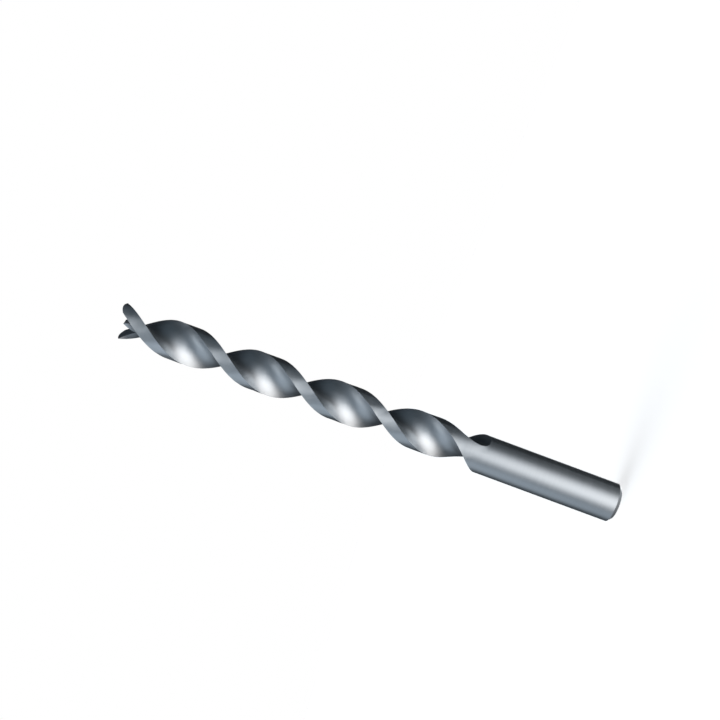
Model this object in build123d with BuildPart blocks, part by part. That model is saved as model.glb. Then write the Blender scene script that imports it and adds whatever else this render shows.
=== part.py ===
import os
from math import acos, cos, radians, sin, sqrt, tan

from build123d import *

# Two-flute wood drill bit, ground from one round steel bar.
# It stands on its shank end, with its axis along Z and the cutting end up.
# Lengths are in millimetres, angles in degrees.
# The diameter is that of the hole it cuts, at the prongs. From there the lands taper back to the shank.
diameter = 10.0
shank_diameter = 9.97
overall_length = 132.1
shank_length = 35.0
shank_chamfer = 0.95

# Flutes: the core left between them, the turn and the width of each land, and the way out
flutes = 2
web_thickness = 1.7
lead_length = 43.02
land_angle = 42.0
run_out_radius = 14.0

# Cutting end: one V-shaped trench across each half leaves a centre point and two outer prongs.
# The trenches are turned a little about the axis from the middle of the lands.
point_drop = 0.93
point_slope = 51.5
prong_slope = 59.3
lip_relief = 1.8
trench_turn = -4.0

# How closely the flute surface is described, and how far a cutter passes the bar
turn_per_section = 20.0
run_out_sections = 8
cutter_margin = 0.6

radius = diameter / 2
bar_top = overall_length + cutter_margin
web_radius = web_thickness / 2
pitch_angle = 360 / flutes

# A flute is a round hollow through both land edges, with its floor on the web
half_opening = radians((pitch_angle - land_angle) / 2)
edge_offset = radius * sin(half_opening)
edge_height = radius * cos(half_opening)
hollow_depth = edge_height - web_radius
hollow_radius = (edge_offset**2 + hollow_depth**2) / (2 * hollow_depth)
cutter_half_width = radius + cutter_margin
cutter_top = hollow_radius - sqrt(hollow_radius**2 - cutter_half_width**2)


def run_out_angle(floor):
    """Angle along the run-out arc at which the flute floor has risen to this height."""
    return acos(1 - (floor - web_radius) / run_out_radius)


# Towards the shank the floor rises along an arc, and leaves the bar where the plain shank begins
run_out_length = run_out_radius * sin(run_out_angle(radius))
run_out_start = shank_length + run_out_length
last_angle = run_out_angle(radius + cutter_margin)

# Height of each section with the height of its floor, from the shank to past the cutting end
sections = []
for step in range(run_out_sections, 0, -1):
    arc_angle = last_angle * step / run_out_sections
    floor = web_radius + run_out_radius * (1 - cos(arc_angle))
    sections.append((run_out_start - run_out_radius * sin(arc_angle), floor))

section_height = lead_length * turn_per_section / 360
z = run_out_start
while z < bar_top + section_height:
    sections.append((z, web_radius))
    z += section_height

# The hollow that one flute takes out of the bar
with BuildPart() as flute_cutter:
    for z, floor in sections:
        turn = (z - overall_length) * 360 / lead_length + pitch_angle / 2
        with BuildSketch(Plane.XY.offset(z).rotated((0, 0, turn))):
            with BuildLine():
                ThreePointArc(
                    (floor + cutter_top, -cutter_half_width),
                    (floor, 0),
                    (floor + cutter_top, cutter_half_width),
                )
                Polyline(
                    (floor + cutter_top, cutter_half_width),
                    (floor + diameter, cutter_half_width),
                    (floor + diameter, -cutter_half_width),
                    (floor + cutter_top, -cutter_half_width),
                )
            make_face()
    loft()

# The trench ground across one half of the cutting end, tilted back for relief behind the lip
point_rise = tan(radians(point_slope))
prong_rise = tan(radians(prong_slope))
point_z = overall_length - point_drop
trench_x = (point_z - overall_length + prong_rise * radius) / (point_rise + prong_rise)
trench_z = point_z - point_rise * trench_x
outer_x = radius + cutter_margin
outer_z = overall_length + prong_rise * cutter_margin
top_z = outer_z + diameter

with BuildPart() as trench_cutter:
    with BuildSketch(Plane.XZ):
        Polygon(
            (0, point_z),
            (trench_x, trench_z),
            (outer_x, outer_z),
            (outer_x, top_z),
            (0, top_z),
            align=None,
        )
    extrude(amount=cutter_half_width, dir=(0, cos(radians(lip_relief)), sin(radians(lip_relief))), both=True)

# The bar before fluting: a chamfered shank, then the slight cone of the lands, left over-long for grinding
shank_radius = shank_diameter / 2
back_taper = (radius - shank_radius) / (overall_length - shank_length)
bar_top_radius = radius + back_taper * cutter_margin
upright = (Align.CENTER, Align.CENTER, Align.MIN)

# The bit: the bar, fluted and ground
with BuildPart() as drill_bit:
    Cylinder(shank_radius, shank_length, align=upright)
    chamfer(drill_bit.edges().group_by(Axis.Z)[0], shank_chamfer)
    with Locations((0, 0, shank_length)):
        Cone(shank_radius, bar_top_radius, bar_top - shank_length, align=upright)
    with PolarLocations(0, flutes):
        add(flute_cutter.part, mode=Mode.SUBTRACT)
    with PolarLocations(0, flutes, start_angle=trench_turn):
        add(trench_cutter.part, mode=Mode.SUBTRACT)

drill_bit.part.label = "drill_bit"

os.makedirs("parts", exist_ok=True)
export_step(drill_bit.part, "parts/drill_bit.step")
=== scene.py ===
from math import cos, pi, radians, sin

import bpy
from mathutils import Matrix, Vector

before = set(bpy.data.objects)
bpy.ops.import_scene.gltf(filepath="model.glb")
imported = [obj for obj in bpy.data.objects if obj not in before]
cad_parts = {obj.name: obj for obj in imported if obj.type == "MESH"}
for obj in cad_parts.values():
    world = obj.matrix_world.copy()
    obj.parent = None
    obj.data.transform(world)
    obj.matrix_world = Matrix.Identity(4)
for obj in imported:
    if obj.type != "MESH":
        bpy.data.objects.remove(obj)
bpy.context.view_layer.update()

mm = 0.001
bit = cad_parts["drill_bit"]
print("frame loaded")


class Wire:  # an output socket that can stand in a sum
    def __init__(self, tree, socket):
        self.tree = tree
        self.socket = socket

    def maths(self, operation, first, second=0.0):
        return self.tree.node("ShaderNodeMath", {"operation": operation}, {0: first, 1: second})

    def __add__(self, other):
        return self.maths("ADD", self, other)

    def __radd__(self, other):
        return self.maths("ADD", other, self)

    def __sub__(self, other):
        return self.maths("SUBTRACT", self, other)

    def __rsub__(self, other):
        return self.maths("SUBTRACT", other, self)

    def __mul__(self, other):
        return self.maths("MULTIPLY", self, other)

    def __rmul__(self, other):
        return self.maths("MULTIPLY", other, self)

    def __truediv__(self, other):
        return self.maths("DIVIDE", self, other)

    def __rtruediv__(self, other):
        return self.maths("DIVIDE", other, self)


class Tree:  # the nodes of one material or world
    def __init__(self, owner):
        owner.use_nodes = True
        self.nodes = owner.node_tree.nodes
        self.links = owner.node_tree.links
        self.nodes.clear()

    def node(self, kind, settings=None, sockets=None, output=0):
        made = self.nodes.new(kind)
        for name, value in (settings or {}).items():
            setattr(made, name, value)
        for name, value in (sockets or {}).items():
            if isinstance(value, Wire):
                self.links.new(value.socket, made.inputs[name])
            else:
                made.inputs[name].default_value = value
        if not made.outputs:
            return None
        return Wire(self, made.outputs[output])

    def vector(self, operation, first, second, output=0):
        return self.node("ShaderNodeVectorMath", {"operation": operation}, {0: first, 1: second}, output)

    def split(self, vector):
        parts = self.node("ShaderNodeSeparateXYZ", {}, {0: vector}).socket.node.outputs
        return [Wire(self, part) for part in parts]

    def join(self, x, y, z):
        return self.node("ShaderNodeCombineXYZ", {}, {0: x, 1: y, 2: z})

    def noise(self, place, detail, grain):
        sockets = {"Vector": place, "Scale": 1.0, "Detail": detail, "Roughness": grain}
        return self.node("ShaderNodeTexNoise", {}, sockets)

    def mixColour(self, share, first, second):  # a Mix node keeps its colours in sockets 6 and 7
        return self.node("ShaderNodeMix", {"data_type": "RGBA"}, {0: share, 6: first, 7: second}, 2)

    def ray(self, kind):
        return self.node("ShaderNodeLightPath", output=kind)


# The camera looks level at the standing bit, and is rolled so that the bit lies across the picture
eye = {
    "turn": -37.5,       # degrees round the bit from its own X
    "away": 263.2 * mm,  # from the bit's axis
    "aside": 11.5 * mm,
    "height": 72.53 * mm,
    "roll": 20.34,       # degrees between the bit and the picture's long way
    "lens": 52.5,        # with a sensor 36 mm wide
    "near": 1 * mm,      # nothing closer than this is drawn
}
turn = radians(eye["turn"])
roll = radians(eye["roll"])
asideWay = Vector((cos(turn), -sin(turn), 0))
backWay = Vector((-sin(turn), -cos(turn), 0))  # from the bit to the camera
upWay = Vector((0, 0, 1))


def placeCamera():
    camera = bpy.data.objects.new("camera", bpy.data.cameras.new("camera"))
    bpy.context.scene.collection.objects.link(camera)
    camera.data.lens = eye["lens"]
    camera.data.clip_start = eye["near"]
    pictureRight = sin(roll) * asideWay - cos(roll) * upWay
    pictureUp = cos(roll) * asideWay + sin(roll) * upWay
    turned = Matrix((pictureRight, pictureUp, backWay)).transposed().to_4x4()
    place = eye["away"] * backWay + eye["aside"] * asideWay + eye["height"] * upWay
    camera.matrix_world = Matrix.Translation(place) @ turned
    bpy.context.scene.camera = camera


placeCamera()
print("camera placed")

# Bare steel, ground round the shank and the lands, and along the flutes
steel = {
    "cool": (0.52, 0.555, 0.585, 1),
    "warm": (0.545, 0.565, 0.585, 1),
    "roughness": 0.36,
    "lead": 43.02 * mm,       # of the flutes
    "fluteEdge": 4.93 * mm,   # the flutes lie inside this radius, and the ground lands outside
    "chamferTop": 1.0 * mm,
    "markWidth": 0.4 * mm,    # across the widest grinding marks
    "markLength": 9.0 * mm,
    "patchSize": 8.0 * mm,    # of the cloudy patches left by handling
    "markShade": 0.12,
    "patchShade": 0.06,
    "markRoughness": 0.09,
    "patchRoughness": 0.04,
    "markDepth": 0.003 * mm,
    "markDetail": 4.0,        # finer and finer marks within the widest ones
    "patchDetail": 3.0,
    "grain": 0.6,             # strength of each finer layer against the one before
}
middle = 0.5  # about which a noise swings


def groundSteel():
    made = bpy.data.materials.new("groundSteel")
    tree = Tree(made)
    place = tree.node("ShaderNodeTexCoord", output="Object")
    x, y, z = tree.split(place)
    radius = x.maths("SQRT", x * x + y * y)

    # Round marks run about the axis, and turn into rings on the end face
    across = (z - radius) / steel["markWidth"]
    along = tree.join(x / steel["markLength"], y / steel["markLength"], across)
    roundMarks = tree.noise(along, steel["markDetail"], steel["grain"])

    # Flute marks follow the helix: seen in axes that turn with the flutes, they are straight
    twist = z * (2 * pi / steel["lead"])
    cosine = twist.maths("COSINE", twist)
    sine = twist.maths("SINE", twist)
    turnedX = (x * cosine + y * sine) / steel["markWidth"]
    turnedY = (y * cosine - x * sine) / steel["markWidth"]
    turned = tree.join(turnedX, turnedY, z / steel["markLength"])
    fluteMarks = tree.noise(turned, steel["markDetail"], steel["grain"])

    onLand = radius.maths("GREATER_THAN", radius, steel["fluteEdge"])
    onEnd = z.maths("LESS_THAN", z, steel["chamferTop"])
    groundRound = onLand.maths("MAXIMUM", onLand, onEnd)
    marks = fluteMarks + (roundMarks - fluteMarks) * groundRound
    cloudy = tree.vector("DIVIDE", place, (steel["patchSize"],) * 3)
    patches = tree.noise(cloudy, steel["patchDetail"], steel["grain"])

    markSwing = marks - middle
    patchSwing = patches - middle
    bare = tree.mixColour(patches, steel["cool"], steel["warm"])
    shade = 1 + markSwing * steel["markShade"] + patchSwing * steel["patchShade"]
    rough = steel["roughness"] + markSwing * steel["markRoughness"] + patchSwing * steel["patchRoughness"]
    bump = {"Strength": 1.0, "Distance": steel["markDepth"], "Height": marks}
    finish = {
        "Base Color": tree.vector("MULTIPLY", bare, shade),
        "Metallic": 1.0,
        "Roughness": rough,
        "Normal": tree.node("ShaderNodeBump", {}, bump),
    }
    surface = tree.node("ShaderNodeBsdfPrincipled", {}, finish)
    tree.node("ShaderNodeOutputMaterial", {}, {"Surface": surface})
    return made


bit.data.materials.clear()
bit.data.materials.append(groundSteel())
print("steel done")


def straightRays(tree):  # 1 for a ray from the camera, and for one that has passed through glass
    return tree.ray("Is Camera Ray") + tree.ray("Is Transmission Ray")


# The table's own glow and the light on its paint add up to white, less where the bit keeps light off it
table = {"size": 1500 * mm, "paint": (0.8, 0.8, 0.8, 1), "glow": 0.69}


def whiteTable():
    half = table["size"] / 2
    corners = [(-half, -half, 0), (half, -half, 0), (half, half, 0), (-half, half, 0)]
    mesh = bpy.data.meshes.new("table")
    mesh.from_pydata(corners, [], [(0, 1, 2, 3)])
    thing = bpy.data.objects.new("table", mesh)
    bpy.context.scene.collection.objects.link(thing)

    made = bpy.data.materials.new("tableWhite")
    tree = Tree(made)
    seen = straightRays(tree) + tree.ray("Is Glossy Ray")
    glow = tree.node("ShaderNodeEmission", {}, {"Color": (1, 1, 1, 1), "Strength": seen * table["glow"]})
    paint = tree.node("ShaderNodeBsdfDiffuse", {}, {"Color": table["paint"]})
    both = tree.node("ShaderNodeAddShader", {}, {0: glow, 1: paint})
    tree.node("ShaderNodeOutputMaterial", {}, {"Surface": both})
    mesh.materials.append(made)

    # Some softboxes are lower than the table, so it neither hides them from the steel nor shades it
    thing.visible_glossy = False
    thing.visible_shadow = False


whiteTable()
print("table done")

# Softboxes about the bit: degrees around it from the camera's side, degrees of rise, and degrees of spread
softboxes = {
    "front": {"around": -2, "rise": -47, "spread": 27, "strength": 1.77, "tint": (1.05, 1.0, 0.96)},
    "fill": {"around": -11, "rise": -18, "spread": 27, "strength": 0.54, "tint": (0.91, 1.0, 1.08)},
    "left": {"around": 92, "rise": 55, "spread": 17, "strength": 1.75, "tint": (0.96, 1.0, 1.04)},
    "right": {"around": -88, "rise": -51, "spread": 15.5, "strength": 1.9, "tint": (0.95, 1.0, 1.03)},
    "side": {"around": 88, "rise": 8, "spread": 23.5, "strength": 0.37, "tint": (0.9, 1.0, 1.1)},
    "above": {"around": 58, "rise": 19, "spread": 40, "strength": 0.24, "tint": (0.84, 1.0, 1.15)},
    "rear": {"around": -68, "rise": 30, "spread": 26, "strength": 0.084, "tint": (0.78, 1.0, 1.2)},
    "back": {"around": 138, "rise": 54, "spread": 27, "strength": 0.4, "tint": (0.95, 1.0, 1.06)},
    "low": {"around": -165, "rise": -66, "spread": 26, "strength": 0.17, "tint": (0.95, 1.0, 1.05)},
    "rim": {"around": -176, "rise": -23, "spread": 10, "strength": 1.8, "tint": (1.0, 1.0, 1.0)},
}
backdrop = {"around": -176, "rise": -26, "spread": 13}  # the part of it that the steel shows
room = {"colour": (0.004, 0.007, 0.01)}


def towards(around, rise):
    level = cos(radians(around)) * backWay - sin(radians(around)) * asideWay
    return cos(radians(rise)) * level + sin(radians(rise)) * upWay


def within(tree, box):  # 1 in the middle of a softbox, 0 outside it
    way = tree.node("ShaderNodeTexCoord", output="Generated")
    facing = tree.vector("DOT_PRODUCT", way, towards(box["around"], box["rise"]), "Value")
    outwards = (1 - facing) / radians(box["spread"]) ** 2
    fade = 0 - outwards * outwards
    return fade.maths("EXPONENT", fade)


def studio(room, softboxes, backdrop):
    world = bpy.data.worlds.new("studio")
    bpy.context.scene.world = world
    tree = Tree(world)
    light = room["colour"]
    for box in softboxes.values():
        glow = within(tree, box) * box["strength"]
        light = tree.vector("ADD", light, tree.vector("MULTIPLY", box["tint"], glow))

    # The white backdrop fills the picture, and the steel shows it where it stands behind the bit
    mirrored = tree.ray("Is Glossy Ray") * within(tree, backdrop)
    light = tree.vector("ADD", light, tree.vector("MULTIPLY", (1, 1, 1), mirrored))
    seen = tree.mixColour(straightRays(tree), light, (1, 1, 1, 1))
    sky = tree.node("ShaderNodeBackground", {}, {"Color": seen, "Strength": 1.0})
    tree.node("ShaderNodeOutputWorld", {}, {"Surface": sky})


studio(room, softboxes, backdrop)
print("studio done")

bpy.context.scene.view_settings.view_transform = "Standard"
